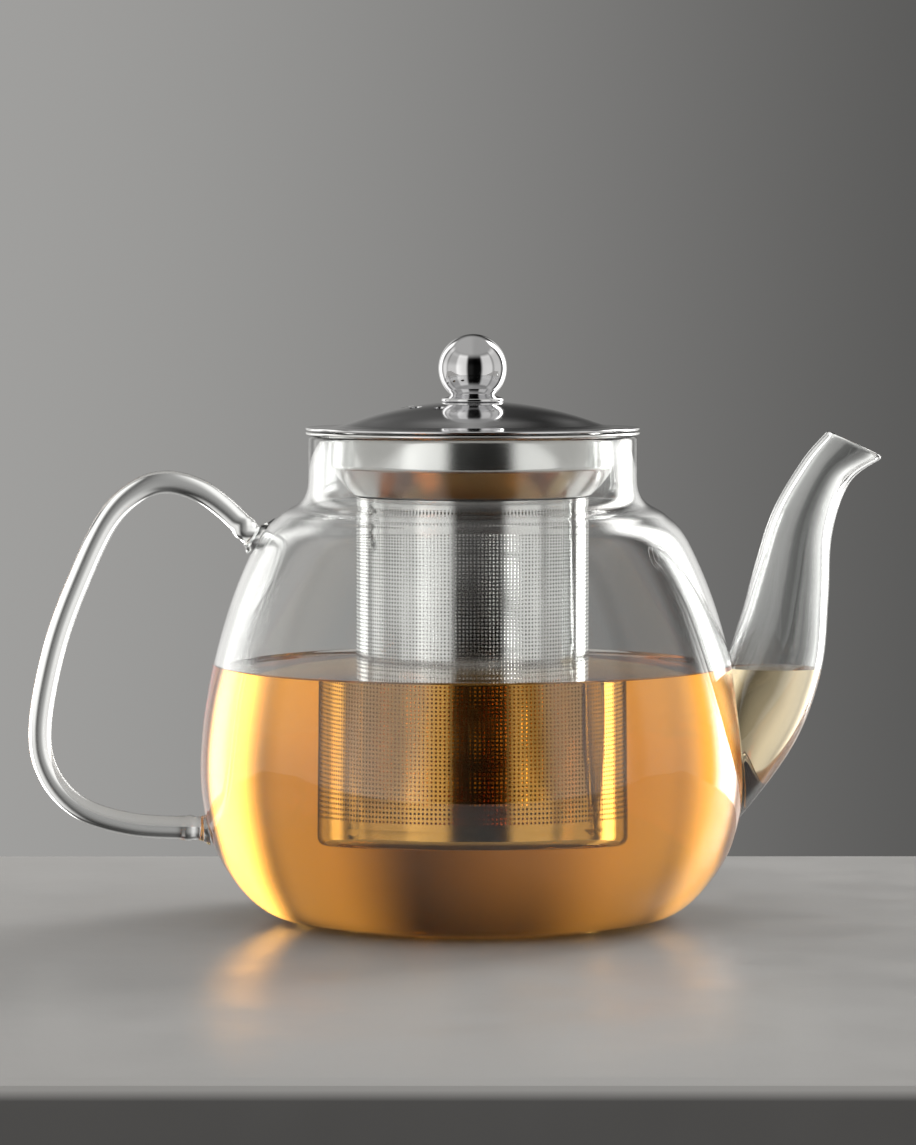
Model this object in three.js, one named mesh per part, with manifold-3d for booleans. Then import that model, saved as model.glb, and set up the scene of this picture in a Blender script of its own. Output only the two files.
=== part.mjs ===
// Glass teapot with a lift-out steel infuser and a steel lid. Millimetres, +Z up.
// The origin is the centre of the base, the spout points along +X and the handle along -X.
import * as THREE from 'three';
import { mergeVertices } from 'three/addons/utils/BufferGeometryUtils.js';
import Module from 'manifold-3d';

const wasm = await Module();
wasm.setup();

// ---------------------------------------------------------------- driving dimensions

const GAP = 0.3; // kept between pieces that touch on the real object
const ROUND = 36; // sides of the large turned pieces
const ROUND_SMALL = 24; // sides of the knob and its fastening

const GLASS = 2; // wall of the blown body
const GLASS_FLOOR = 2.4;
const FOOT_R = 41;
const NECK_R = 39.3;
const RIM_Z = 115.8;
const BELLY = [ // radius and height, from above the foot to the bottom of the neck
  [50, 2.6],
  [57.6, 10],
  [62.8, 20],
  [65.2, 35],
  [63.4, 54.5],
  [58.2, 75],
  [51.4, 91],
  [46, 97],
  [41.4, 99.9],
  [39.6, 103],
  [NECK_R, 107],
];

const SPOUT_WALL = 1.7;
const CHANNEL_OVERRUN = 3; // how far the cut for the channel runs past the spout's ends
const SPOUT_SIDES = 20;
const SPOUT_STEPS = 20;
const SPOUT_THROAT = [ // the edge that faces the pot, in the XZ plane, root to tip
  [57, 56],
  [61.5, 64.5],
  [63.3, 70],
  [65, 75.5],
  [67.6, 85],
  [71.8, 98],
  [78.7, 109.8],
  [84.2, 116.4],
];
const SPOUT_FRONT = [ // the edge that faces away from it, point by point opposite the throat
  [57, 17.5],
  [66, 26.5],
  [77.6, 43],
  [83.6, 60],
  [85.2, 77],
  [86, 92.5],
  [90.2, 104.6],
  [97.6, 110.2],
];
const SPOUT_HALF_WIDTH = [13, 14, 12.6, 11, 9.6, 8, 6.7, 6.5]; // along Y, at the same points

const ROD_R = 2.8; // handle
const ROD_SIDES = 12;
const ROD_STEPS = 38;
const ROD_PATH = [ // centreline in the XZ plane, from the shoulder round to the belly
  [-48, 86.5],
  [-53, 92],
  [-59, 98.2],
  [-65.5, 102.7],
  [-73, 104.6],
  [-80, 102.6],
  [-87, 96],
  [-93.5, 83],
  [-100, 65.5],
  [-103.7, 46],
  [-101.6, 34.5],
  [-94, 26.4],
  [-82, 22.5],
  [-68, 21.6],
  [-58, 21.4],
];
const BEAD_R = 4.1; // swelling of the glass where the rod is fused on
const BEAD_HEIGHT = 2.6;
const UPPER_BEAD = { x: -52.2, z: 90.6, lean: 0.45 }; // lean in radians, as the surface there
const LOWER_BEAD = { x: -63.6, z: 21.5, lean: 0 };

const STEEL = 0.7; // pressed sheet of collar and lid
const FLANGE_R = 39.6;
const FLANGE_Z = RIM_Z + GAP;
const BAND_R = 34.1;
const BAND_LOW_Z = 109.2;
const BASKET_R = 27.8;
const BASKET_SHEET = 0.6;
const BASKET_TOP_Z = 100.6;
const BASKET_FLOOR_Z = 22.4;
const BASKET_EDGE_R = 2.2;
const CUP_TOP_Z = 26;
const SLEEVE_LOW_Z = 95.5;

const LID_R = 39.9;
const LID_FLANGE_Z = FLANGE_Z + STEEL + GAP; // underside of the lid's flange
const DOME_TOP_Z = 124.1;
const DOME_R = 86; // radius of the dome's sphere
const DOME_EDGE_R = 30; // where the dome turns into the flange
const VENT_R = 1.5;
const VENT_CIRCLE_R = 15.6;
const VENT_DEGREES = [180, 210, 240];
const SKIRT_R = 31.3;
const SKIRT_LOW_Z = 109.8;
const SKIRT_TOP_Z = 117.15;

const BALL_R = 8.2;
const BALL_Z = 131.85;
const BALL_SEAT_R = 5.3; // flat under the ball
const FOOT_EDGE_R = 7.5;
const SCREW_R = 1.7;
const SCREW_HEAD_R = 3.5;
const SCREW_HEAD_HEIGHT = 2.2;
const SCREW_HOLE_R = SCREW_R + 0.4;
const SCREW_TIP_Z = 129.6;
const SLOT_WIDTH = 0.9;
const SLOT_LENGTH = 4.6;
const SLOT_DEPTH = 1.1;
const WASHER_R = 5.2;
const WASHER_HEIGHT = 0.8;

// ---------------------------------------------------------------- materials

const glass = { color: 0xe9f1f2, roughness: 0.04, metalness: 0, transparent: true, opacity: 0.35 };
const polished = { color: 0xc9cbcd, roughness: 0.08, metalness: 1 };
const satin = { color: 0xb4b6b7, roughness: 0.3, metalness: 1 };

// ---------------------------------------------------------------- geometry helpers

const points2 = (pairs) => pairs.map(([a, b]) => new THREE.Vector2(a, b));

function turned(profile, sides) {
  // A profile of (radius, height) points turned about the Z axis, with its faces pointing out.
  const outward = THREE.ShapeUtils.area(profile) > 0;
  const loop = outward ? profile : [...profile].reverse();
  return new THREE.LatheGeometry(loop, sides).rotateX(Math.PI / 2);
}

function besideLine(line, distance) {
  // The line moved sideways by a distance, to the left of its direction, with mitred corners.
  return line.map((point, i) => {
    const before = line[Math.max(i - 1, 0)];
    const after = line[Math.min(i + 1, line.length - 1)];
    const into = i > 0 ? point.clone().sub(before) : after.clone().sub(point);
    const out = i < line.length - 1 ? after.clone().sub(point) : into.clone();
    const side = (v) => new THREE.Vector2(-v.y, v.x).normalize();
    const middle = side(into).add(side(out)).normalize();
    return point.clone().addScaledVector(middle, distance / middle.dot(side(into)));
  });
}

function sheetProfile(line, thickness) {
  // A closed profile: the line, and the line beside it in the other direction.
  const back = besideLine(line, thickness).reverse();
  return [...line, ...back, line[0].clone()];
}

function arc(centreX, centreY, radius, fromDegrees, toDegrees, steps) {
  const from = THREE.MathUtils.degToRad(fromDegrees);
  const to = THREE.MathUtils.degToRad(toDegrees);
  const curve = new THREE.EllipseCurve(centreX, centreY, radius, radius, from, to, to < from);
  return curve.getPoints(steps);
}

function solid(geometry) {
  const bare = geometry.clone();
  bare.deleteAttribute('normal');
  bare.deleteAttribute('uv');
  const merged = mergeVertices(bare, 1e-4);
  const vertProperties = new Float32Array(merged.attributes.position.array);
  const triVerts = new Uint32Array(merged.index.array);
  return new wasm.Manifold(new wasm.Mesh({ numProp: 3, vertProperties, triVerts }));
}

function geometryOf(body) {
  const mesh = body.getMesh();
  const geometry = new THREE.BufferGeometry();
  geometry.setAttribute('position', new THREE.BufferAttribute(mesh.vertProperties, 3));
  geometry.setIndex(new THREE.BufferAttribute(mesh.triVerts, 1));
  geometry.computeVertexNormals();
  return geometry;
}

function loft(rings) {
  // A closed skin over rings of equal length, with a flat cap on the first and the last.
  const sides = rings[0].length;
  const vertices = rings.flat();
  const index = [];
  for (let r = 0; r < rings.length - 1; r += 1) {
    for (let s = 0; s < sides; s += 1) {
      const a = r * sides + s;
      const b = r * sides + ((s + 1) % sides);
      index.push(a, b, b + sides, a, b + sides, a + sides);
    }
  }
  const last = (rings.length - 1) * sides;
  for (let s = 1; s < sides - 1; s += 1) {
    index.push(0, s + 1, s);
    index.push(last, last + s, last + s + 1);
  }
  const geometry = new THREE.BufferGeometry().setFromPoints(vertices);
  geometry.setIndex(index);
  return geometry;
}

// ---------------------------------------------------------------- glass pot

function bodyOutline() {
  // The outside of the blown body, from the edge of the foot up to the rim.
  const path = new THREE.Path();
  path.moveTo(FOOT_R, 0);
  path.splineThru(points2(BELLY));
  path.lineTo(NECK_R, RIM_Z - GLASS / 2);
  return path.getPoints(2);
}

function bodyShell() {
  const outside = bodyOutline();
  const inside = besideLine(outside, GLASS).reverse();
  const rim = arc(NECK_R - GLASS / 2, RIM_Z - GLASS / 2, GLASS / 2, 0, 180, 6).slice(1, -1);
  const wall = inside.filter((p) => p.y > GLASS_FLOOR + 0.4);
  const low = new THREE.Vector2(0, 0);
  const floor = points2([[FOOT_R, GLASS_FLOOR], [0, GLASS_FLOOR]]);
  return turned([low, ...outside, ...rim, ...wall, ...floor], ROUND);
}

function bodyEnvelope() {
  // The space that the body fills, grown by the gap, which trims the spout and the handle.
  const grown = besideLine(bodyOutline(), -GAP);
  const low = new THREE.Vector2(0, -GAP);
  const high = new THREE.Vector2(0, grown[grown.length - 1].y);
  return turned([low, ...grown, high], ROUND);
}

function spoutLoft(inset, overrun) {
  // The spout's outer skin, or its channel when inset by the wall and run past both ends.
  const throat = new THREE.SplineCurve(points2(SPOUT_THROAT));
  const front = new THREE.SplineCurve(points2(SPOUT_FRONT));
  const widths = new THREE.SplineCurve(SPOUT_HALF_WIDTH.map((w, i) => new THREE.Vector2(i, w)));
  const rings = [];
  for (let i = 0; i <= SPOUT_STEPS; i += 1) {
    const t = i / SPOUT_STEPS;
    const a = throat.getPoint(t);
    const b = front.getPoint(t);
    const middle = a.clone().add(b).multiplyScalar(0.5);
    const across = b.clone().sub(a).multiplyScalar(0.5);
    const long = across.length() - inset;
    const wide = widths.getPoint(t).y - inset;
    const along = across.clone().normalize();
    const ahead = new THREE.Vector2(-along.y, along.x);
    if (i === 0) middle.addScaledVector(ahead, -overrun);
    if (i === SPOUT_STEPS) middle.addScaledVector(ahead, overrun);
    rings.push(spoutRing(middle, along, long, wide));
  }
  return loft(rings);
}

function spoutRing(middle, along, long, wide) {
  const ring = [];
  for (let s = 0; s < SPOUT_SIDES; s += 1) {
    const angle = (2 * Math.PI * s) / SPOUT_SIDES;
    const out = long * Math.cos(angle);
    const side = wide * Math.sin(angle);
    ring.push(new THREE.Vector3(middle.x + along.x * out, side, middle.y + along.y * out));
  }
  return ring;
}

function bead(place) {
  // Swollen glass where the rod meets the body.
  const shape = new THREE.SphereGeometry(1, 12, 8);
  shape.scale(BEAD_HEIGHT, BEAD_R, BEAD_R);
  shape.rotateY(place.lean);
  shape.translate(place.x, 0, place.z);
  return shape;
}

function handleRod() {
  const path = new THREE.CatmullRomCurve3(ROD_PATH.map(([x, z]) => new THREE.Vector3(x, 0, z)));
  const section = new THREE.Shape(arc(0, 0, ROD_R, 0, 360, ROD_SIDES).slice(0, -1));
  return new THREE.ExtrudeGeometry(section, { steps: ROD_STEPS, extrudePath: path });
}

// ---------------------------------------------------------------- infuser

function infuserCollar() {
  const outside = points2([
    [FLANGE_R, FLANGE_Z],
    [BAND_R + 1.5, FLANGE_Z],
    [BAND_R + 0.4, FLANGE_Z - 0.4],
    [BAND_R, FLANGE_Z - 1.5],
    [BAND_R, BAND_LOW_Z],
    [BAND_R - 0.3, BAND_LOW_Z - 0.9],
    [BAND_R - 0.9, BAND_LOW_Z - 1.7],
    [BASKET_R + 0.7, BASKET_TOP_Z + 0.9],
    [BASKET_R, BASKET_TOP_Z + 0.4],
    [BASKET_R - BASKET_SHEET - GAP, BASKET_TOP_Z],
    [BASKET_R - BASKET_SHEET - GAP, SLEEVE_LOW_Z],
  ]);
  return turned(sheetProfile(outside, -STEEL), ROUND);
}

function infuserWall() {
  const line = points2([
    [BASKET_R, CUP_TOP_Z + GAP],
    [BASKET_R, BASKET_TOP_Z],
  ]);
  return turned(sheetProfile(line, BASKET_SHEET), ROUND);
}

function infuserBase() {
  const corner = BASKET_R - BASKET_EDGE_R;
  const outside = [
    new THREE.Vector2(0, BASKET_FLOOR_Z),
    ...arc(corner, BASKET_FLOOR_Z + BASKET_EDGE_R, BASKET_EDGE_R, -90, 0, 4),
    new THREE.Vector2(BASKET_R, CUP_TOP_Z),
  ];
  const inside = besideLine(outside, BASKET_SHEET).reverse();
  return turned([...outside, ...inside], ROUND);
}

// ---------------------------------------------------------------- lid

const domeHeight = (radius) => DOME_TOP_Z - DOME_R + Math.sqrt(DOME_R ** 2 - radius ** 2);

function lidBlank() {
  const top = [];
  const steps = 6;
  for (let i = 0; i <= steps; i += 1) {
    const radius = SCREW_HOLE_R + ((DOME_EDGE_R - SCREW_HOLE_R) * i) / steps;
    top.push(new THREE.Vector2(radius, domeHeight(radius)));
  }
  const flangeTop = LID_FLANGE_Z + STEEL;
  top.push(...points2([
    [31.5, flangeTop + 0.46],
    [33.2, flangeTop + 0.1],
    [35, flangeTop],
    [LID_R, flangeTop],
  ]));
  return turned(sheetProfile(top, -STEEL), ROUND);
}

function ventDrill(degrees) {
  const angle = THREE.MathUtils.degToRad(degrees);
  const drill = new THREE.CylinderGeometry(VENT_R, VENT_R, 8, 12);
  drill.rotateX(Math.PI / 2);
  const middleZ = domeHeight(VENT_CIRCLE_R);
  drill.translate(VENT_CIRCLE_R * Math.cos(angle), VENT_CIRCLE_R * Math.sin(angle), middleZ);
  return drill;
}

function lidSkirt() {
  const line = points2([
    [SKIRT_R, SKIRT_LOW_Z],
    [SKIRT_R, SKIRT_TOP_Z],
  ]);
  return turned(sheetProfile(line, STEEL), ROUND);
}

const BALL_SEAT_Z = BALL_Z - Math.sqrt(BALL_R ** 2 - BALL_SEAT_R ** 2);

function knobBall() {
  const seatDegrees = THREE.MathUtils.radToDeg(Math.acos(BALL_SEAT_R / BALL_R));
  const surface = arc(0, BALL_Z, BALL_R, -seatDegrees, 90, 14);
  surface[surface.length - 1].x = 0;
  const pocket = points2([
    [0, SCREW_TIP_Z + GAP],
    [SCREW_HOLE_R, SCREW_TIP_Z + GAP],
    [SCREW_HOLE_R, BALL_SEAT_Z],
  ]);
  return turned([...pocket, ...surface], ROUND_SMALL);
}

function knobFoot() {
  const under = domeHeight(FOOT_EDGE_R) + GAP;
  const seat = BALL_SEAT_Z - GAP;
  const profile = points2([
    [SCREW_HOLE_R, domeHeight(SCREW_HOLE_R) + GAP],
    [FOOT_EDGE_R - 0.5, under],
    [FOOT_EDGE_R, under + 0.35],
    [FOOT_EDGE_R - 0.3, under + 0.8],
    [BALL_SEAT_R + 0.8, seat - 0.15],
    [BALL_SEAT_R, seat],
    [SCREW_HOLE_R, seat],
  ]);
  return turned([...profile, profile[0].clone()], ROUND_SMALL);
}

const WASHER_TOP_Z = domeHeight(SCREW_HOLE_R) - STEEL - GAP - 0.1;
const HEAD_TOP_Z = WASHER_TOP_Z - WASHER_HEIGHT - GAP;

function screwWasher() {
  const low = WASHER_TOP_Z - WASHER_HEIGHT;
  const line = points2([
    [WASHER_R, low],
    [WASHER_R, WASHER_TOP_Z],
  ]);
  return turned(sheetProfile(line, WASHER_R - SCREW_HOLE_R), ROUND_SMALL);
}

function knobScrew() {
  const low = HEAD_TOP_Z - SCREW_HEAD_HEIGHT;
  const profile = points2([
    [0, low],
    [SCREW_HEAD_R - 1.1, low],
    [SCREW_HEAD_R - 0.3, low + 0.5],
    [SCREW_HEAD_R, low + 1.3],
    [SCREW_HEAD_R, HEAD_TOP_Z],
    [SCREW_R, HEAD_TOP_Z],
    [SCREW_R, SCREW_TIP_Z - 0.6],
    [SCREW_R - 0.6, SCREW_TIP_Z],
    [0, SCREW_TIP_Z],
  ]);
  let body = solid(turned(profile, ROUND_SMALL));
  for (const turn of [0, Math.PI / 2]) {
    const slot = new THREE.BoxGeometry(SLOT_LENGTH, SLOT_WIDTH, 2 * SLOT_DEPTH);
    slot.rotateZ(turn);
    slot.translate(0, 0, low);
    body = body.subtract(solid(slot));
  }
  return geometryOf(body);
}

// ---------------------------------------------------------------- assembly

const group = new THREE.Group();
const pot = new THREE.Group();
const infuser = new THREE.Group();
const lid = new THREE.Group();
group.add(pot, infuser, lid);

function add(parent, name, geometry, look) {
  const mesh = new THREE.Mesh(geometry, new THREE.MeshStandardMaterial(look));
  mesh.name = name;
  parent.add(mesh);
}

const envelope = solid(bodyEnvelope());
const channel = solid(spoutLoft(SPOUT_WALL, CHANNEL_OVERRUN));
add(pot, 'glass_body', geometryOf(solid(bodyShell()).subtract(channel)), glass);
const spoutSkin = solid(spoutLoft(0, 0));
add(pot, 'spout', geometryOf(spoutSkin.subtract(channel).subtract(envelope)), glass);
const rod = solid(handleRod()).add(solid(bead(UPPER_BEAD))).add(solid(bead(LOWER_BEAD)));
add(pot, 'handle', geometryOf(rod.subtract(envelope)), glass);

add(infuser, 'infuser_collar', infuserCollar(), polished);
add(infuser, 'infuser_wall', infuserWall(), satin);
add(infuser, 'infuser_base', infuserBase(), satin);

let lidShell = solid(lidBlank());
for (const degrees of VENT_DEGREES) lidShell = lidShell.subtract(solid(ventDrill(degrees)));
add(lid, 'lid_shell', geometryOf(lidShell), polished);
add(lid, 'lid_skirt', lidSkirt(), polished);
add(lid, 'knob_ball', knobBall(), polished);
add(lid, 'knob_foot', knobFoot(), polished);
add(lid, 'screw_washer', screwWasher(), satin);
add(lid, 'knob_screw', knobScrew(), satin);

export default group;
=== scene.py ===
"""Looks of the glass teapot with its lift-out steel infuser and lid: fine meshes, materials, studio, camera.

Metres, +Z up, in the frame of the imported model. Sizes in millimetres are multiplied by MM.
"""

import math

import bmesh
import bpy
import numpy as np
from mathutils import Matrix, Vector


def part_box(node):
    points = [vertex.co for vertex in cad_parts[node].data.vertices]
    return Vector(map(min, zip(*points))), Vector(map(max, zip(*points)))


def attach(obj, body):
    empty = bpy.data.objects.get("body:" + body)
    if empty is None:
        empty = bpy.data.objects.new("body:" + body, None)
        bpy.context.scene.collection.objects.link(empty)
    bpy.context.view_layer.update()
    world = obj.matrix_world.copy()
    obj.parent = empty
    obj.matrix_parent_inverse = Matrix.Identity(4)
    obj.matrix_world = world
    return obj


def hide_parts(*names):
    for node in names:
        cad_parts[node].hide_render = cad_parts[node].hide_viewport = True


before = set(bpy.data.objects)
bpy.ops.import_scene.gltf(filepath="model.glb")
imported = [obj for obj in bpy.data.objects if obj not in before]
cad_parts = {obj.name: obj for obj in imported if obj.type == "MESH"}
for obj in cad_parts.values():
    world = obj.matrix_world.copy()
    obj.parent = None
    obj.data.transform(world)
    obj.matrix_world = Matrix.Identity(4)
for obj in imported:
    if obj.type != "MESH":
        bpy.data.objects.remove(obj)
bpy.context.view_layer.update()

MM = 0.001
FULL_TURN = 2 * math.pi


# ---------------------------------------------------------------- camera

CAMERA_DISTANCE = 1.2
CAMERA_HEIGHT = 0.150
AIM = Vector((-3.5 * MM, 0, 83 * MM))
LENS_MM = 157.9

camera = bpy.data.objects.new("camera", bpy.data.cameras.new("camera"))
bpy.context.scene.collection.objects.link(camera)
camera.data.sensor_width = 36
camera.data.lens = LENS_MM
camera.location = (AIM.x, -CAMERA_DISTANCE, CAMERA_HEIGHT)
camera.rotation_euler = (AIM - camera.location).to_track_quat("-Z", "Y").to_euler()
bpy.context.scene.camera = camera


# ---------------------------------------------------------------- sizes, from the frame where it has them

_, pot_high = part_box("glass_body")
collar_low, collar_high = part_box("infuser_collar")
_, wall_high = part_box("infuser_wall")
cup_low, cup_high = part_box("infuser_base")
lid_low, lid_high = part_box("lid_shell")
skirt_low, skirt_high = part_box("lid_skirt")
ball_low, ball_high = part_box("knob_ball")
foot_low, foot_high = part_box("knob_foot")
washer_low, washer_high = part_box("screw_washer")
screw_low, screw_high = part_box("knob_screw")

RIM_Z = pot_high.z
GLASS = 2 * MM
GLASS_FLOOR = 2.6 * MM
NECK_R = 39.3 * MM
FOOT_R = 41 * MM
# Outlines are in millimetres. The belly's are (radius, height), the others' (x, z).
BELLY = [
    (50, 2.6),
    (57.6, 10),
    (62.8, 20),
    (65.2, 35),
    (63.4, 54.5),
    (58.2, 75),
    (51.4, 91),
    (46, 97),
    (41.4, 99.9),
    (39.6, 103),
    (39.3, 107),
]
TEA_Z = 60.2 * MM

SPOUT_WALL = 1.7 * MM
# The spout's edge next to the pot, its far edge, and half of its width there, from the root to the tip.
SPOUT_THROAT = [
    (57, 56),
    (61.5, 64.5),
    (63.3, 70),
    (65, 75.5),
    (67.6, 85),
    (71.8, 98),
    (78.7, 109.8),
    (84.2, 116.4),
]
SPOUT_FRONT = [
    (57, 17.5),
    (66, 26.5),
    (77.6, 43),
    (83.6, 60),
    (85.2, 77),
    (86, 92.5),
    (90.2, 104.6),
    (97.6, 110.2),
]
SPOUT_HALF_WIDTH = [13, 14, 12.6, 11, 9.6, 8, 6.7, 6.5]

ROD_R = 2.8 * MM
ROD_PATH = [
    (-51.2, 90.0),
    (-53, 92),
    (-59, 98.2),
    (-65.5, 102.7),
    (-73, 104.6),
    (-80, 102.6),
    (-87, 96),
    (-93.5, 83),
    (-100, 65.5),
    (-103.7, 46),
    (-101.6, 34.5),
    (-94, 26.4),
    (-82, 22.5),
    (-68, 21.6),
    (-62.9, 21.5),
]
WELD_PATH = [(-51.8, 88.2), (-50, 91.6), (-47.2, 94.4), (-43.4, 97.2)]


# ---------------------------------------------------------------- curves and profiles

def spline(points, t):
    """The point at t, from 0 to 1, of a uniform Catmull-Rom curve through points."""
    last = len(points) - 1
    place = min(max(t, 0), 1) * last
    i = min(int(place), last - 1)
    w = place - i
    p = [np.array(points[min(max(i + k, 0), last)], float) for k in (-1, 0, 1, 2)]
    a = (p[2] - p[0]) * 0.5
    b = (p[3] - p[1]) * 0.5
    return (
        (2 * p[1] - 2 * p[2] + a + b) * w**3
        + (3 * p[2] - 3 * p[1] - 2 * a - b) * w**2
        + a * w
        + p[1]
    )


def sampled(points, count):
    """Points at equal steps of t along the curve through points."""
    return [spline(points, i / count) for i in range(count + 1)]


def beside(line, distance):
    """The line moved sideways by a distance, to the left of its direction, with mitred corners."""
    pts = np.array(line, float)
    steps = np.diff(pts, axis=0)
    sides = np.stack([-steps[:, 1], steps[:, 0]], 1) / np.linalg.norm(steps, axis=1)[:, None]
    into = np.vstack([sides[:1], sides])
    out = np.vstack([sides, sides[-1:]])
    middle = into + out
    middle /= np.linalg.norm(middle, axis=1)[:, None]
    reach = distance / (middle * into).sum(1)
    return pts + middle * reach[:, None]


def filleted(corners, steps=6):
    """A line through (r, z, fillet) corners, in millimetres, each rounded by an arc of its fillet radius."""
    pts = [np.array(c[:2], float) for c in corners]
    line = [pts[0]]
    for i in range(1, len(corners) - 1):
        a, here, b = pts[i - 1], pts[i], pts[i + 1]
        to_a = (a - here) / np.linalg.norm(a - here)
        to_b = (b - here) / np.linalg.norm(b - here)
        half = math.acos(np.clip(to_a @ to_b, -1, 1)) / 2
        radius = corners[i][2]
        back = min(radius / math.tan(half), 0.49 * min(np.linalg.norm(a - here), np.linalg.norm(b - here)))
        radius = back * math.tan(half)
        centre = here + (to_a + to_b) / np.linalg.norm(to_a + to_b) * radius / math.sin(half)
        start, end = here + to_a * back - centre, here + to_b * back - centre
        turn = math.atan2(start[0] * end[1] - start[1] * end[0], start @ end)
        for k in range(steps + 1):
            c, s = math.cos(turn * k / steps), math.sin(turn * k / steps)
            line.append(centre + np.array([start[0] * c - start[1] * s, start[0] * s + start[1] * c]))
    line.append(pts[-1])
    return np.array(line) * MM


def half_round(a, b, steps=5):
    """Points strictly between a and b on the half circle that bulges to the right of a to b."""
    a, b = np.array(a), np.array(b)
    middle, arm = (a + b) / 2, (a - b) / 2
    points = []
    for k in range(1, steps):
        angle = math.pi * k / steps
        c, s = math.cos(angle), math.sin(angle)
        points.append(middle + np.array([arm[0] * c - arm[1] * s, arm[0] * s + arm[1] * c]))
    return points


def sheet(line, thickness):
    """A closed profile of sheet. The line is one face, the other lies to its left, and the ends are round."""
    far = beside(line, thickness)[::-1]
    return [*line, *half_round(line[-1], far[0]), *far, *half_round(far[-1], line[0])]


# ---------------------------------------------------------------- meshes

SAME_PLACE = 2e-7  # vertices no further apart than this are one
SHARP_EDGE = math.radians(32)


def shade(piece):
    """Welds doubles, points the faces out and smooths all but the sharp edges."""
    made = bmesh.new()
    made.from_mesh(piece.data)
    bmesh.ops.remove_doubles(made, verts=made.verts, dist=SAME_PLACE)
    bmesh.ops.recalc_face_normals(made, faces=made.faces)
    made.to_mesh(piece.data)
    made.free()
    piece.data.shade_smooth()
    piece.data.set_sharp_from_angle(angle=SHARP_EDGE)


def piece_of(mesh):
    """A shaded object for the mesh, with the mesh's name, in the scene."""
    piece = bpy.data.objects.new(mesh.name, mesh)
    bpy.context.scene.collection.objects.link(piece)
    shade(piece)
    return piece


def new_piece(name, vertices, faces):
    mesh = bpy.data.meshes.new(name)
    mesh.from_pydata([tuple(v) for v in vertices], [], faces)
    mesh.validate()
    return piece_of(mesh)


def turned(name, profile, sides, closed=False):
    """A profile of (radius, height) turned about Z. It closes on the axis, or on itself."""
    profile = np.array(profile, float)
    count = len(profile)
    angles = np.arange(sides) * FULL_TURN / sides
    r, z = profile[:, 0][:, None], profile[:, 1][:, None]
    grid = np.stack([r * np.cos(angles), r * np.sin(angles), z + 0 * angles], -1)
    faces = []
    for i in range(count if closed else count - 1):
        j = (i + 1) % count
        for k in range(sides):
            m = (k + 1) % sides
            faces.append((i * sides + k, i * sides + m, j * sides + m, j * sides + k))
    return new_piece(name, grid.reshape(-1, 3), faces)


def lofted(name, rings, closed=False):
    """A skin over rings of equal length. Unless it closes on itself, its first and last ring are capped."""
    sides = len(rings[0])
    faces = []
    for i in range(len(rings) if closed else len(rings) - 1):
        j = (i + 1) % len(rings)
        for k in range(sides):
            m = (k + 1) % sides
            faces.append((i * sides + k, i * sides + m, j * sides + m, j * sides + k))
    if not closed:
        last = (len(rings) - 1) * sides
        faces.append(tuple(range(sides))[::-1])
        faces.append(tuple(range(last, last + sides)))
    return new_piece(name, np.concatenate(rings), faces)


def cut(piece, tool, operation="DIFFERENCE"):
    """Cuts piece with tool, which is used up, or with UNION joins the two."""
    modifier = piece.modifiers.new("cut", "BOOLEAN")
    modifier.object = tool
    modifier.operation = operation
    modifier.solver = "MANIFOLD"
    bpy.context.view_layer.update()
    seen = piece.evaluated_get(bpy.context.evaluated_depsgraph_get())
    mesh = bpy.data.meshes.new_from_object(seen)
    piece.modifiers.clear()
    piece.data = mesh
    bpy.data.objects.remove(tool)
    shade(piece)
    return piece


# ---------------------------------------------------------------- glass pot

POT_SIDES = 192
BELLY_STEPS = 9  # from each point of the belly to the next
FLOOR_CORNER = (1.2 * MM, 0.6 * MM)  # width and height of the corner between the wall and the floor inside
KICK = 0.9 * MM  # how far the middle of the base is pushed up
FOOT_RING = 3 * MM  # width of the flat ring round that


def body_outline():
    """The outside of the pot, from the edge of its foot to just under the rim."""
    points = [(FOOT_R / MM, 0), *BELLY]
    line = np.array(sampled(points, BELLY_STEPS * (len(points) - 1))) * MM
    return np.vstack([line, [(NECK_R, RIM_Z - GLASS / 2)]])


def body_inside(line, wall=GLASS):
    """The inside of the pot's wall, down from the rim, where it is above the floor."""
    inside = beside(line, wall)[::-1]
    return [p for p in inside if p[1] > GLASS_FLOOR + FLOOR_CORNER[1]]


def kicked_disc(radius, height, steps):
    """The outline of a disc at a height, from the axis out, pushed up in the middle as the base is."""
    line = []
    for i in range(steps + 1):
        r = radius * i / steps
        out = min(r / (FOOT_R - FOOT_RING), 1)
        line.append((r, height + KICK * (0.5 + 0.5 * math.cos(math.pi * out))))
    return line


def pot_shell():
    """The pot as one wall: out under its base, up its outside, over the rim, down its inside and in again."""
    outside = body_outline()
    under = kicked_disc(FOOT_R, 0, steps=14)[:-1]
    rim = half_round(outside[-1], (NECK_R - GLASS, RIM_Z - GLASS / 2), steps=9)
    wall = body_inside(outside)
    floor = kicked_disc(wall[-1][0] - FLOOR_CORNER[0], GLASS_FLOOR, steps=14)[::-1]
    return turned("pot_shell", [*under, *outside, *rim, *wall, *floor], POT_SIDES)


SPOUT_SIDES = 72
SPOUT_STEPS = 90
SPOUT_LAP = 0.15 * MM  # how deep the spout's root sits in the pot's wall


def spout_ring(t, inset, ahead_by=0.0):
    """An oval across the spout at t, from 0 at the root to 1 at the tip, inset from its outside."""
    throat, front = spline(SPOUT_THROAT, t) * MM, spline(SPOUT_FRONT, t) * MM
    wide = spline([(w,) for w in SPOUT_HALF_WIDTH], t)[0] * MM - inset
    middle, across = (throat + front) / 2, (front - throat) / 2
    long = np.linalg.norm(across) - inset
    along = across / np.linalg.norm(across)
    middle = middle + np.array([-along[1], along[0]]) * ahead_by
    angles = np.arange(SPOUT_SIDES) * FULL_TURN / SPOUT_SIDES
    x = middle[0] + along[0] * long * np.cos(angles)
    z = middle[1] + along[1] * long * np.cos(angles)
    return np.stack([x, wide * np.sin(angles), z], 1)


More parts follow.
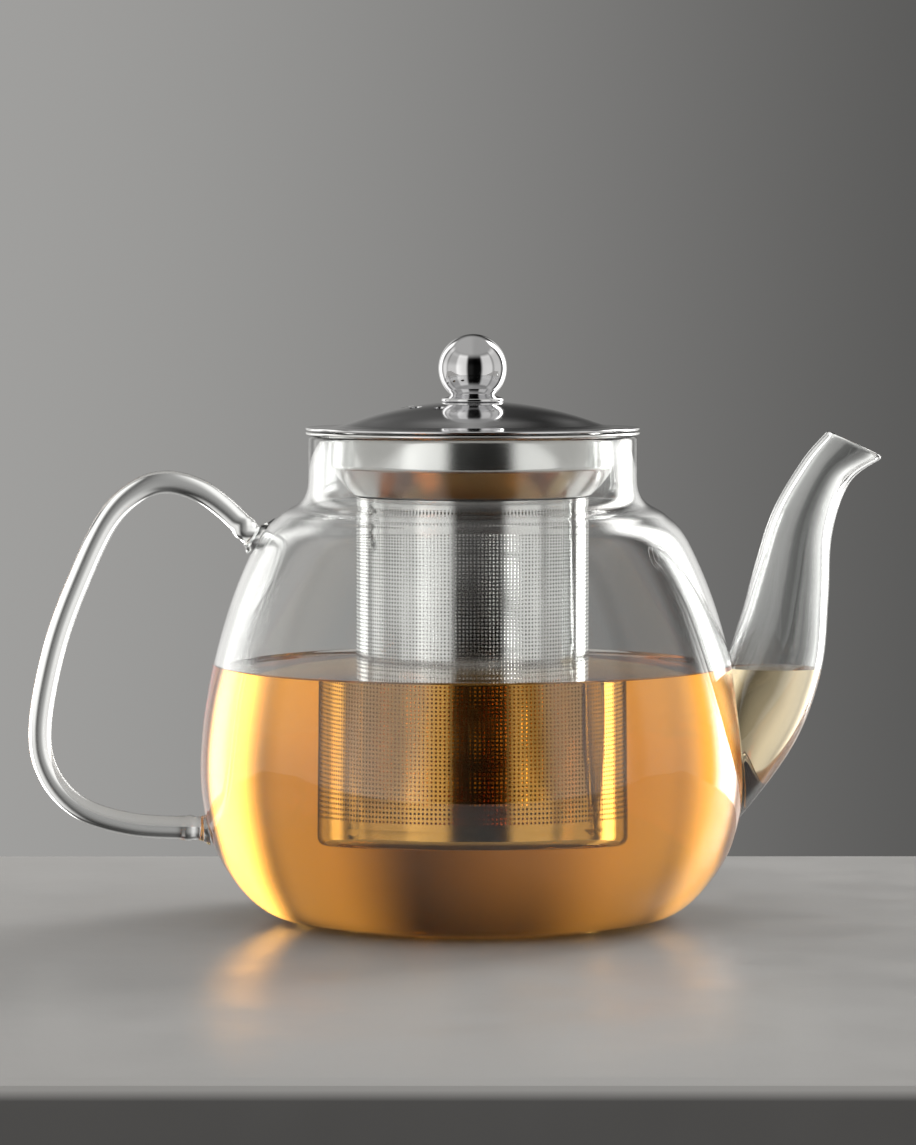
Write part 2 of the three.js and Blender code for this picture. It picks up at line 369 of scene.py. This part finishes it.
def spout_channel(name, inset):
    """What fills the spout, inset from its outside, and runs on a little at both ends."""
    overrun = 3 * MM
    rings = [spout_ring(0, inset, -overrun)]
    rings += [spout_ring(i / SPOUT_STEPS, inset) for i in range(1, SPOUT_STEPS)]
    rings.append(spout_ring(1, inset, overrun))
    return lofted(name, rings)


def body_envelope(sink):
    """The space that the pot fills, less sink, which trims what is fused to it."""
    clear_of_table = 0.5 * MM
    line = [p for p in beside(body_outline(), sink) if p[1] > clear_of_table]
    profile = [(0, line[0][1]), *line, (0, line[-1][1])]
    return turned("envelope", profile, POT_SIDES)


def pouring_spout():
    """The spout's wall with a round lip at its tip. It is open from end to end."""
    outer = [spout_ring(i / SPOUT_STEPS, 0) for i in range(SPOUT_STEPS + 1)]
    lip = []
    lip_steps = 7
    for k in range(1, lip_steps):
        angle = math.pi * k / lip_steps
        inset = SPOUT_WALL / 2 * (1 - math.cos(angle))
        lip.append(spout_ring(1, inset, SPOUT_WALL / 2 * math.sin(angle)))
    inner = [spout_ring(i / SPOUT_STEPS, SPOUT_WALL) for i in range(SPOUT_STEPS, -1, -1)]
    piece = lofted("pouring_spout", [*outer, *lip, *inner], closed=True)
    return cut(piece, body_envelope(SPOUT_LAP))


ROD_SIDES = 40
ROD_FLARES = (0.9 * MM, 1.3 * MM)  # at the upper and the lower joint
FLARE_REACH = 1.5 * MM
BULGE = 0.35 * MM
BULGE_PLACE = 5.2 * MM
BULGE_REACH = 1.3 * MM
ROD_LAP = 0.25 * MM  # how deep the handle's ends sit in the pot's wall
WELD_FLATNESS = 2.2  # width of the upper joint's lump over its thickness


def rod_radius(run, length):
    """The rod swells where it is fused on: a flared foot, a thin waist and a low bulge."""
    radius = ROD_R
    for reach, flare in zip((run, length - run), ROD_FLARES):
        radius += flare * math.exp(-((reach / FLARE_REACH) ** 2))
        radius += BULGE * math.exp(-(((reach - BULGE_PLACE) / BULGE_REACH) ** 2))
    return radius


def swept(name, path, radius_at, steps, flat=1.0):
    """A rod along a path in the XZ plane. Its radius is radius_at(run, length), flat times that across."""
    line = np.array(sampled(path, steps)) * MM
    away = np.gradient(line, axis=0)
    away /= np.linalg.norm(away, axis=1)[:, None]
    runs = np.concatenate([[0], np.cumsum(np.linalg.norm(np.diff(line, axis=0), axis=1))])
    angles = np.arange(ROD_SIDES) * FULL_TURN / ROD_SIDES
    rings = []
    for point, ahead, run in zip(line, away, runs):
        radius = radius_at(run, runs[-1])
        side = np.array([-ahead[1], ahead[0]])
        x = point[0] + side[0] * radius * np.cos(angles)
        z = point[1] + side[1] * radius * np.cos(angles)
        rings.append(np.stack([x, radius * flat * np.sin(angles), z], 1))
    return lofted(name, rings)


def weld_radius(run, length):
    """The lump of the upper joint: thick near the rod, rippled, and thinning up the shoulder."""
    thin, thick, ripple, ripple_turn = 0.4, 2.3, 0.12 * MM, 21
    start, early = 0.12, 0.6  # it starts on its way up, and is thickest before the middle
    share = run / length
    swell = math.sin(math.pi * min(share + start, 1) ** early)
    return (thin + thick * swell) * MM + ripple * math.sin(share * ripple_turn)


def rod_handle():
    """The bent rod and the lump of its upper joint, trimmed to the pot."""
    piece = swept("rod_handle", ROD_PATH, rod_radius, steps=260)
    weld = swept("weld", WELD_PATH, weld_radius, steps=70, flat=WELD_FLATNESS)
    return cut(cut(piece, weld, "UNION"), body_envelope(ROD_LAP))


# ---------------------------------------------------------------- infuser

STEEL = 0.7 * MM
COLLAR_STEEL = STEEL * 0.9
SHEET = 0.5 * MM
BASKET_R = wall_high.x
FIELD_LOW = cup_high.z + 1.2 * MM  # the field of holes starts and ends at these heights
FIELD_HIGH = 97 * MM
HOLE_COLUMNS = 198
HOLE_ROWS = 78
HOLE_SHARE = 0.5  # of the pitch
ROW_RISE = (FIELD_HIGH - FIELD_LOW) / HOLE_ROWS
WALL_GAP = 0.02 * MM  # between the basket's wall and its cup


def collar_sheet():
    """The collar, from its flange on the glass down its band and its cone to the sleeve in the basket."""
    flange_r, flange_z = collar_high.x / MM, collar_high.z / MM - STEEL / MM
    band_r, band_foot = 34.1, 108.3
    cone_foot_r, cone_foot = 28.5, 101.3
    sleeve_r, sleeve_top = BASKET_R / MM - 0.8, 100.8
    corners = [
        (flange_r, flange_z, 0),
        (band_r, flange_z, 1.5),
        (band_r, band_foot, 1.8),
        (cone_foot_r, cone_foot, 0.5),
        (sleeve_r, sleeve_top, 0.5),
        (sleeve_r, collar_low.z / MM, 0),
    ]
    line = filleted(corners)
    return turned("collar_sheet", sheet(line[::-1], COLLAR_STEEL), sides=160, closed=True)


def basket_wall(name, low, high, hole_rows):
    """A length of the basket's tube, from low to high, with square holes in these rows of the field."""
    pitch = FULL_TURN / HOLE_COLUMNS
    starts = (np.arange(HOLE_COLUMNS) - HOLE_SHARE / 2) * pitch
    angles = np.stack([starts, starts + HOLE_SHARE * pitch], 1).ravel()
    bottoms = FIELD_LOW + (np.array(hole_rows) + (1 - HOLE_SHARE) / 2) * ROW_RISE
    heights = np.stack([bottoms, bottoms + HOLE_SHARE * ROW_RISE], 1).ravel()
    heights = np.concatenate([[low], heights, [high]])
    columns, rows = len(angles), len(heights)
    skins = []
    for radius in (BASKET_R, BASKET_R - SHEET):
        turn, up = np.meshgrid(angles, heights)
        skins.append(np.stack([radius * np.cos(turn), radius * np.sin(turn), up], -1).reshape(-1, 3))
    deep = columns * rows
    faces = []
    for j in range(rows - 1):
        for i in range(columns):
            a, b = j * columns + i, j * columns + (i + 1) % columns
            c, d = b + columns, a + columns
            if i % 2 == 0 and j % 2 == 1:
                loop = (a, b, c, d)
                faces += [(p, p + deep, q + deep, q) for p, q in zip(loop, (b, c, d, a))]
            else:
                faces += [(a, b, c, d), (d + deep, c + deep, b + deep, a + deep)]
    for start in (0, (rows - 1) * columns):
        for i in range(columns):
            a, b = start + i, start + (i + 1) % columns
            faces.append((a, b, b + deep, a + deep))
    return new_piece(name, np.concatenate(skins), faces)


CUP_SIDES = 144
CUP_CORNER = 2.2  # radius in millimetres, as in the outline below
PLATE_R = 23.6 * MM
PLATE_EDGE = 1 * MM  # the plain ring round the holes
PLATE_HOLE_R = 0.42 * MM
PLATE_HOLE_SIDES = 8
PLATE_PITCH = 1.75 * MM


def plate_holes():
    """Centres of the holes in the basket's floor: rings about the middle."""
    centres = [(0.0, 0.0)]
    for ring in range(1, int((PLATE_R - PLATE_EDGE) / PLATE_PITCH) + 1):
        radius = ring * PLATE_PITCH
        count = round(FULL_TURN * radius / PLATE_PITCH)
        for k in range(count):
            angle = FULL_TURN * k / count
            centres.append((radius * math.cos(angle), radius * math.sin(angle)))
    return centres


def basket_cup():
    """The cup that closes the basket: a pierced floor, a round corner and a plain band."""
    low = cup_low.z
    made = bmesh.new()

    def circle(x, y, z, radius, count):
        spots = [FULL_TURN * k / count for k in range(count)]
        return [made.verts.new((x + radius * math.cos(s), y + radius * math.sin(s), z)) for s in spots]

    def edges_of(loop):
        return [made.edges.new((loop[k - 1], loop[k])) for k in range(len(loop))]

    floors = []
    for z in (low, low + SHEET):
        loops = [circle(0, 0, z, PLATE_R, CUP_SIDES)]
        loops += [circle(x, y, z, PLATE_HOLE_R, PLATE_HOLE_SIDES) for x, y in plate_holes()]
        edges = [e for loop in loops for e in edges_of(loop)]
        bmesh.ops.triangle_fill(made, use_beauty=True, edges=edges)
        floors.append(loops)
    for lower, upper in zip(floors[0][1:], floors[1][1:]):
        for k in range(len(lower)):
            made.faces.new((lower[k - 1], lower[k], upper[k], upper[k - 1]))
    corners = [
        (PLATE_R / MM, low / MM, 0),
        (BASKET_R / MM, low / MM, CUP_CORNER),
        (BASKET_R / MM, cup_high.z / MM, 0),
    ]
    line = filleted(corners, steps=8)
    far = beside(line, SHEET)[::-1]
    profile = [*line[1:], *half_round(line[-1], far[0]), *far[:-1]]
    rings = [floors[0][0]] + [circle(0, 0, z, r, CUP_SIDES) for r, z in profile] + [floors[1][0]]
    for a, b in zip(rings, rings[1:]):
        for k in range(CUP_SIDES):
            made.faces.new((a[k - 1], a[k], b[k], b[k - 1]))
    mesh = bpy.data.meshes.new("basket_cup")
    made.to_mesh(mesh)
    made.free()
    return piece_of(mesh)


# ---------------------------------------------------------------- lid

LID_STEEL = 0.7 * MM
DOME_R = 86 * MM
DOME_TOP = 124.1 * MM
DOME_EDGE_R = 29 * MM
DOME_STEPS = 24
VENT_R = 1.5 * MM
VENT_CIRCLE_R = 15.6 * MM
VENT_DEGREES = (180, 210, 240)
SCREW_HOLE = 2.1  # radius in millimetres, as in the outlines below, of the hole for the screw


def dome_height(radius):
    """The height of the dome's upper face."""
    return DOME_TOP - DOME_R + math.sqrt(DOME_R**2 - radius**2)


def lid_dome():
    """The lid: a shallow dome, a hollow bend and a flat flange, with the screw's hole and the steam vents."""
    flange_top = lid_low.z / MM + LID_STEEL / MM
    edge = DOME_EDGE_R / MM
    dome = [SCREW_HOLE + (edge - SCREW_HOLE) * i / DOME_STEPS for i in range(DOME_STEPS + 1)]
    dome = [(r, dome_height(r * MM) / MM) for r in dome]
    bend_r, bend_z, flange_r = 31.4, flange_top + 0.5, 33.9
    corners = [
        (edge, dome_height(edge * MM) / MM, 0),
        (bend_r, bend_z, 6),
        (flange_r, flange_top, 6),
        (lid_high.x / MM - 0.3, flange_top, 0),
    ]
    blend = filleted(corners, steps=8)
    line = np.vstack([np.array(dome) * MM, blend[1:]])
    piece = turned("lid_dome", sheet(line[::-1], LID_STEEL), sides=192, closed=True)
    reach = 4 * MM
    for degrees in VENT_DEGREES:
        angle = math.radians(degrees)
        x, y = VENT_CIRCLE_R * math.cos(angle), VENT_CIRCLE_R * math.sin(angle)
        drill = turned("drill", [(0, -reach), (VENT_R, -reach), (VENT_R, reach), (0, reach)], sides=32)
        drill.data.transform(Matrix.Translation((x, y, dome_height(VENT_CIRCLE_R))))
        piece = cut(piece, drill)
    return piece


def lid_ring():
    """The ring under the lid that centres it in the collar."""
    r = skirt_high.x / MM
    line = filleted([(r, skirt_low.z / MM, 0), (r, skirt_high.z / MM, 0)])
    return turned("lid_ring", sheet(line, LID_STEEL), sides=128, closed=True)


def ball_knob():
    """The ball, flat where it stands on its foot, with a pocket for the screw."""
    radius = (ball_high.x - ball_low.x) / 2
    centre = ball_high.z - radius
    seat_r = 5.3 * MM
    seat = -math.acos(seat_r / radius)
    steps = 60
    turns = [seat + (math.pi / 2 - seat) * i / steps for i in range(steps)]
    skin = [(radius * math.cos(a), centre + radius * math.sin(a)) for a in turns]
    hole_r, hole_end = SCREW_HOLE * MM, screw_high.z + 0.3 * MM
    pocket = [(0, hole_end), (hole_r, hole_end), (hole_r, ball_low.z)]
    return turned("ball_knob", [*pocket, *skin, (0, ball_high.z)], sides=96)


def knob_base():
    """The foot under the ball: a flange that follows the dome down, and a slope up to the ball's seat."""
    r, edge, fall = foot_high.x / MM, 0.85, 0.25
    low, seat = foot_low.z / MM - fall, ball_low.z / MM + 0.02
    slope_r, seat_r = 5.5, 5.2
    corners = [
        (SCREW_HOLE, low + fall, 0),
        (r, low, 0.45),
        (r - 0.1, low + edge, 0.45),
        (slope_r, seat - 0.25, 0.8),
        (seat_r, seat, 0.1),
        (SCREW_HOLE, seat, 0),
    ]
    return turned("knob_base", filleted(corners), sides=96, closed=True)


def fixing_washer():
    """The washer between the lid and the screw's head."""
    r, low, high = washer_high.x / MM, washer_low.z / MM, washer_high.z / MM
    corners = [(SCREW_HOLE, low, 0), (r, low, 0.2), (r, high, 0.2), (SCREW_HOLE, high, 0)]
    return turned("fixing_washer", filleted(corners, steps=3), sides=64, closed=True)


def fixing_screw():
    """The screw from under the lid into the ball: a round head with crossed slots, and a ridged thread."""
    head_r, low, high = screw_high.x / MM, screw_low.z / MM, screw_high.z / MM
    head_top = low + 2.2
    crest, root, point, pitch = 1.7, 1.45, 1.2, 0.7
    thread_low, thread_high = head_top + 1.2, high - 1
    corners = [(0, low, 0), (head_r, low + 0.1, 1.2), (head_r, head_top, 0.1), (crest, head_top, 0.1)]
    line = filleted(corners, steps=5)[:-1]
    thread = []
    z = thread_low
    while z < thread_high:
        thread += [(crest * MM, z * MM), (root * MM, (z + pitch / 2) * MM)]
        z += pitch
    profile = [*line, (crest * MM, head_top * MM), *thread, (point * MM, high * MM), (0, high * MM)]
    piece = turned("fixing_screw", profile, sides=48)
    long, wide = 2.3 * MM, 0.45 * MM  # half of a slot's length and width
    deep, narrowed = 1.2, 0.7
    ring = [(-long, -wide), (long, -wide), (long, wide), (-long, wide)]
    for turn in (0, math.pi / 2):
        c, s = math.cos(turn), math.sin(turn)
        rings = []
        for z, share in ((low - 1, 1.0), (low + deep, narrowed)):
            rings.append(np.array([(x * share * c - y * s, x * share * s + y * c, z * MM) for x, y in ring]))
        piece = cut(piece, lofted("slot", rings))
    return piece


# ---------------------------------------------------------------- materials

class Nodes:
    """A material whose nodes are added and linked by short calls."""

    def __init__(self, name):
        self.material = bpy.data.materials.new(name)
        self.material.use_nodes = True
        self.tree = self.material.node_tree
        self.shader = self.tree.nodes["Principled BSDF"]

    def add(self, kind, **values):
        """A new node with these settings, or values of its inputs."""
        node = self.tree.nodes.new(kind)
        for key, value in values.items():
            if hasattr(node, key):
                setattr(node, key, value)
            else:
                node.inputs[key.replace("_", " ").title()].default_value = value
        return node

    def link(self, source, target):
        self.tree.links.new(source, target)

    def set(self, **values):
        """Sets inputs of the material's shader."""
        for key, value in values.items():
            self.shader.inputs[key.replace("_", " ").title()].default_value = value


def place(nodes):
    """The point that is shaded, in the object's own metres."""
    return nodes.add("ShaderNodeTexCoord").outputs["Object"]


def noise(nodes, vector, scale, detail):
    texture = nodes.add("ShaderNodeTexNoise", Scale=scale, Detail=detail)
    nodes.link(vector, texture.inputs["Vector"])
    return texture.outputs["Fac"]


def ranged(nodes, value, low, high, from_low=0.3, from_high=0.7):
    """The value from from_low to from_high, spread from low to high. Noise runs from about 0.3 to 0.7."""
    spread = nodes.add("ShaderNodeMapRange")
    spread.inputs["From Min"].default_value = from_low
    spread.inputs["From Max"].default_value = from_high
    spread.inputs["To Min"].default_value = low
    spread.inputs["To Max"].default_value = high
    nodes.link(value, spread.inputs["Value"])
    return spread.outputs["Result"]


def bump(nodes, height, distance, strength=1.0):
    node = nodes.add("ShaderNodeBump")
    node.inputs["Distance"].default_value = distance
    node.inputs["Strength"].default_value = strength
    nodes.link(height, node.inputs["Height"])
    nodes.link(node.outputs["Normal"], nodes.shader.inputs["Normal"])


def stretched(nodes, vector, scale):
    """The place with each axis scaled, so that a noise on it runs in streaks."""
    mapping = nodes.add("ShaderNodeMapping")
    mapping.inputs["Scale"].default_value = scale
    nodes.link(vector, mapping.inputs["Vector"])
    return mapping.outputs["Vector"]


def round_the_axis(nodes, vector):
    """(distance from the Z axis, height, 0), which is the same all the way round a turned part."""
    flat = nodes.add("ShaderNodeVectorMath", operation="MULTIPLY")
    flat.inputs[1].default_value = (1, 1, 0)
    nodes.link(vector, flat.inputs[0])
    length = nodes.add("ShaderNodeVectorMath", operation="LENGTH")
    nodes.link(flat.outputs["Vector"], length.inputs[0])
    split = nodes.add("ShaderNodeSeparateXYZ")
    nodes.link(vector, split.inputs["Vector"])
    joined = nodes.add("ShaderNodeCombineXYZ")
    nodes.link(length.outputs["Value"], joined.inputs["X"])
    nodes.link(split.outputs["Z"], joined.inputs["Y"])
    return joined.outputs["Vector"]


GLASS_IOR = 1.47


def glass_material(name, wave, waves_per_metre):
    """Clear borosilicate glass, slightly wavy, as blowing or drawing leaves it."""
    nodes = Nodes(name)
    nodes.set(base_color=(0.985, 0.995, 0.992, 1), roughness=0.0, transmission_weight=1.0)
    nodes.shader.inputs["IOR"].default_value = GLASS_IOR
    bump(nodes, noise(nodes, place(nodes), waves_per_metre, 1.0), wave)
    return nodes.material


MARKS_PER_METRE = 2600
PATCHES_PER_METRE = 70
MARK_DEPTH = 0.004 * MM


def steel_material(name, colour, roughness, streak):
    """Stainless steel: fine marks round the axis, which also stand out a little, and soft dull patches."""
    nodes = Nodes(name)
    nodes.set(base_color=(*colour, 1), metallic=1.0)
    where = place(nodes)
    turning = stretched(nodes, round_the_axis(nodes, where), (MARKS_PER_METRE, MARKS_PER_METRE, 1))
    marks = noise(nodes, turning, 1.0, 3.0)
    patches = noise(nodes, where, PATCHES_PER_METRE, 3.0)
    mixed = nodes.add("ShaderNodeMath", operation="MULTIPLY_ADD")
    nodes.link(marks, mixed.inputs[0])
    mixed.inputs[1].default_value = streak
    nodes.link(patches, mixed.inputs[2])
    low, high = roughness
    spread = ranged(nodes, mixed.outputs["Value"], low, high, 0.3, 0.75 + streak)
    nodes.link(spread, nodes.shader.inputs["Roughness"])
    bump(nodes, marks, MARK_DEPTH, 0.5)
    return nodes.material


# ---------------------------------------------------------------- the pieces, their bodies and finishes

def painted(piece, material):
    piece.data.materials.clear()
    piece.data.materials.append(material)
    return piece


def finish(piece, body, nodes_replaced, material):
    """Gives a piece its material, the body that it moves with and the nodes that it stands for."""
    painted(piece, material)
    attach(piece, body)
    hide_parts(*nodes_replaced)


blown = glass_material("blown_glass", 0.05 * MM, 45)
drawn = glass_material("drawn_glass", 0.03 * MM, 120)
polished = steel_material("polished_steel", (0.80, 0.80, 0.79), (0.12, 0.24), 0.5)
rolled = steel_material("rolled_steel", (0.72, 0.72, 0.71), (0.07, 0.15), 0.3)
spun = steel_material("spun_steel", (0.70, 0.70, 0.71), (0.06, 0.16), 0.6)
mirror = steel_material("mirror_steel", (0.68, 0.68, 0.69), (0.02, 0.06), 0.1)
plain = steel_material("plain_steel", (0.66, 0.66, 0.65), (0.25, 0.4), 0.3)

shell = cut(pot_shell(), spout_channel("channel", SPOUT_WALL))
finish(shell, "pot", ["glass_body"], blown)
finish(pouring_spout(), "pot", ["spout"], blown)
finish(rod_handle(), "pot", ["handle"], drawn)
finish(collar_sheet(), "infuser", ["infuser_collar"], polished)
half_rows = HOLE_ROWS // 2
seam = FIELD_LOW + half_rows * ROW_RISE
wall_below = basket_wall("basket_wall_low", cup_high.z + WALL_GAP, seam, range(half_rows))
wall_above = basket_wall("basket_wall_high", seam, wall_high.z, range(half_rows, HOLE_ROWS))
finish(wall_below, "infuser", ["infuser_wall"], rolled)
finish(wall_above, "infuser", ["infuser_wall"], rolled)
finish(basket_cup(), "infuser", ["infuser_base"], rolled)
finish(lid_dome(), "lid", ["lid_shell"], spun)
finish(lid_ring(), "lid", ["lid_skirt"], polished)
finish(ball_knob(), "lid", ["knob_ball"], mirror)
finish(knob_base(), "lid", ["knob_foot"], mirror)
finish(fixing_washer(), "lid", ["screw_washer"], plain)
finish(fixing_screw(), "lid", ["knob_screw"], plain)


# ---------------------------------------------------------------- the stage: tea, table and studio

WATER_IOR = 1.333
MENISCUS = 1.0 * MM  # how far the tea climbs the glass
MENISCUS_FALL = 0.9  # millimetres from the glass within which it falls to a third
MENISCUS_STEPS = (0.3, 0.8, 1.4, 2.2, 3.2, 5)  # millimetres from the glass


def tea_material():
    nodes = Nodes("tea")
    nodes.set(base_color=(1, 1, 1, 1), roughness=0.0, transmission_weight=1.0)
    nodes.shader.inputs["IOR"].default_value = WATER_IOR
    absorb = nodes.add("ShaderNodeVolumeAbsorption")
    absorb.inputs["Color"].default_value = (0.91, 0.63, 0.0, 1)
    absorb.inputs["Density"].default_value = 31
    output = nodes.tree.nodes["Material Output"]
    nodes.link(absorb.outputs["Volume"], output.inputs["Volume"])
    return nodes.material


def tea():
    """Tea up to TEA_Z in the pot and the spout. It laps a little into the glass, so no air shows between."""
    lap = 0.12 * MM
    wall = [p for p in body_inside(body_outline(), GLASS - lap) if p[1] < TEA_Z + MENISCUS][::-1]
    floor = kicked_disc(wall[0][0] - FLOOR_CORNER[0], GLASS_FLOOR - lap, steps=10)
    edge = wall[-1][0]
    rise = [(edge - d * MM, TEA_Z + MENISCUS * math.exp(-d / MENISCUS_FALL)) for d in MENISCUS_STEPS]
    piece = turned("tea", [*floor, *wall, *rise, (0, TEA_Z)], sides=160)
    arm = spout_channel("arm", SPOUT_WALL - lap)
    half, above_all = 0.3, 0.2
    square = [(-half, -half), (half, -half), (half, half), (-half, half)]
    air = [np.array([(x, y, z) for x, y in square]) for z in (TEA_Z, above_all)]
    piece = cut(piece, cut(arm, lofted("top", air)), "UNION")
    return painted(piece, tea_material())


def table_top():
    """A pale worktop with round edges and sides painted darker as shade, which ends a little behind the pot.
    """
    nodes = Nodes("worktop")
    where = place(nodes)
    clouds = noise(nodes, where, 9, 5.0)
    smears = noise(nodes, where, 40, 4.0)
    grain = noise(nodes, stretched(nodes, where, (30, 400, 30)), 1.0, 4.0)
    tint = nodes.add("ShaderNodeValToRGB")
    tint.color_ramp.elements[0].color = (0.54, 0.53, 0.52, 1)
    tint.color_ramp.elements[1].color = (0.60, 0.59, 0.58, 1)
    nodes.link(clouds, tint.inputs["Fac"])
    split = nodes.add("ShaderNodeSeparateXYZ")
    nodes.link(where, split.inputs["Vector"])
    # Painted shade: below the top edge the worktop's colour is darkened by height, to a quarter from 4 mm
    # down, standing in for the shade on its sides.
    side_shade, side_top, top_edge = 0.25, -4 * MM, -2 * MM
    painted_side_shade = ranged(nodes, split.outputs["Z"], side_shade, 1.0, side_top, top_edge)
    shaded_tint = nodes.add("ShaderNodeVectorMath", operation="SCALE")
    nodes.link(tint.outputs["Color"], shaded_tint.inputs[0])
    nodes.link(painted_side_shade, shaded_tint.inputs["Scale"])
    nodes.link(shaded_tint.outputs["Vector"], nodes.shader.inputs["Base Color"])
    nodes.link(ranged(nodes, smears, 0.32, 0.45), nodes.shader.inputs["Roughness"])
    bump(nodes, grain, 0.03 * MM)
    back, front, half, drop = 0.135, -0.25, 1.1, 0.04
    corners = [(-half, front), (half, front), (half, back), (-half, back)]
    bevel, near = 4 * MM, 1.2 * MM
    rings = []
    for inset, z in ((bevel, -drop), (0, bevel - drop), (0, -bevel), (near, -near), (bevel, 0)):
        ring = [(x - math.copysign(inset, x), y - math.copysign(inset, y), z) for x, y in corners]
        rings.append(np.array(ring))
    return painted(lofted("worktop", rings), nodes.material)


# Soft panels of light, each (azimuth, half width, lowest and highest elevation, strength). Angles are in
# degrees. Azimuth 0 lies behind the pot and 90 on the spout's side.
PANELS = (
    (43, 10, -18, 45, 7.5),
    (86, 18, -25, 45, 0.7),
    (20, 9, -35, 25, 0.75),
    (-20, 9, -35, 25, 0.5),
    (22, 11, -35, -8, 0.4),
    (-22, 11, -35, -8, 0.2),
    (-42, 10, -18, 40, 1.9),
    (-72, 10, -25, 45, 0.7),
    (-106, 20, -25, 42, 0.45),
    (-142, 18, -25, 42, 0.95),
    (128, 20, -25, 40, 0.85),
)
PANEL_EDGE = 6  # degrees to either side of a panel's edge over which it fades


def surroundings():
    """The room: grey, lighter to the left and overhead, dark on the camera's side, with the panels in it."""
    world = bpy.data.worlds.new("room")
    bpy.context.scene.world = world
    world.use_nodes = True
    tree = world.node_tree

    def ramp(source, low, high, start, end):
        """Goes softly from start to end while source goes from low to high."""
        node = tree.nodes.new("ShaderNodeMapRange")
        node.interpolation_type = "SMOOTHSTEP"
        node.inputs["From Min"].default_value = low
        node.inputs["From Max"].default_value = high
        node.inputs["To Min"].default_value = start
        node.inputs["To Max"].default_value = end
        tree.links.new(source, node.inputs["Value"])
        return node.outputs["Result"]

    def maths(operation, *values):
        node = tree.nodes.new("ShaderNodeMath")
        node.operation = operation
        for socket, value in zip(node.inputs, values):
            if isinstance(value, (int, float)):
                socket.default_value = value
            else:
                tree.links.new(value, socket)
        return node.outputs["Value"]

    split = tree.nodes.new("ShaderNodeSeparateXYZ")
    tree.links.new(tree.nodes.new("ShaderNodeTexCoord").outputs["Generated"], split.inputs["Vector"])
    x, y, z = split.outputs
    across = ramp(x, -0.12, 0.14, 0.36, 0.08)  # from left to right
    above = ramp(z, 0.06, 0.35, 1.0, 0.3)  # from the horizon up
    ahead = ramp(y, -0.92, -0.6, 0.05, 1.0)  # from the camera's side back
    ceiling = ramp(z, 0.5, 0.8, 0, 0.42)
    light = maths("MULTIPLY", maths("MULTIPLY", across, above), ahead)
    light = maths("ADD", light, ceiling)
    azimuth = maths("ARCTAN2", x, y)
    elevation = maths("ARCSINE", z)
    for centre, half, low, high, strength in PANELS:
        centre, half, low, high, edge = (math.radians(v) for v in (centre, half, low, high, PANEL_EDGE))
        off = maths("ABSOLUTE", maths("SUBTRACT", azimuth, centre))
        off = maths("MINIMUM", off, maths("SUBTRACT", FULL_TURN, off))
        inside = ramp(off, half - edge, half + edge, strength, 0)
        inside = maths("MULTIPLY", inside, ramp(elevation, low - edge, low + edge, 0, 1))
        inside = maths("MULTIPLY", inside, ramp(elevation, high - edge, high + edge, 1, 0))
        light = maths("ADD", light, inside)
    background = tree.nodes["Background"]
    background.inputs["Color"].default_value = (1.0, 0.99, 0.965, 1)
    tree.links.new(light, background.inputs["Strength"])


tea()
table_top()
surroundings()

scene = bpy.context.scene
scene.view_settings.view_transform = "Standard"
scene.cycles.use_denoising = True
scene.cycles.max_bounces = 24
scene.cycles.transmission_bounces = 24
scene.cycles.glossy_bounces = 8
scene.cycles.sample_clamp_indirect = 6
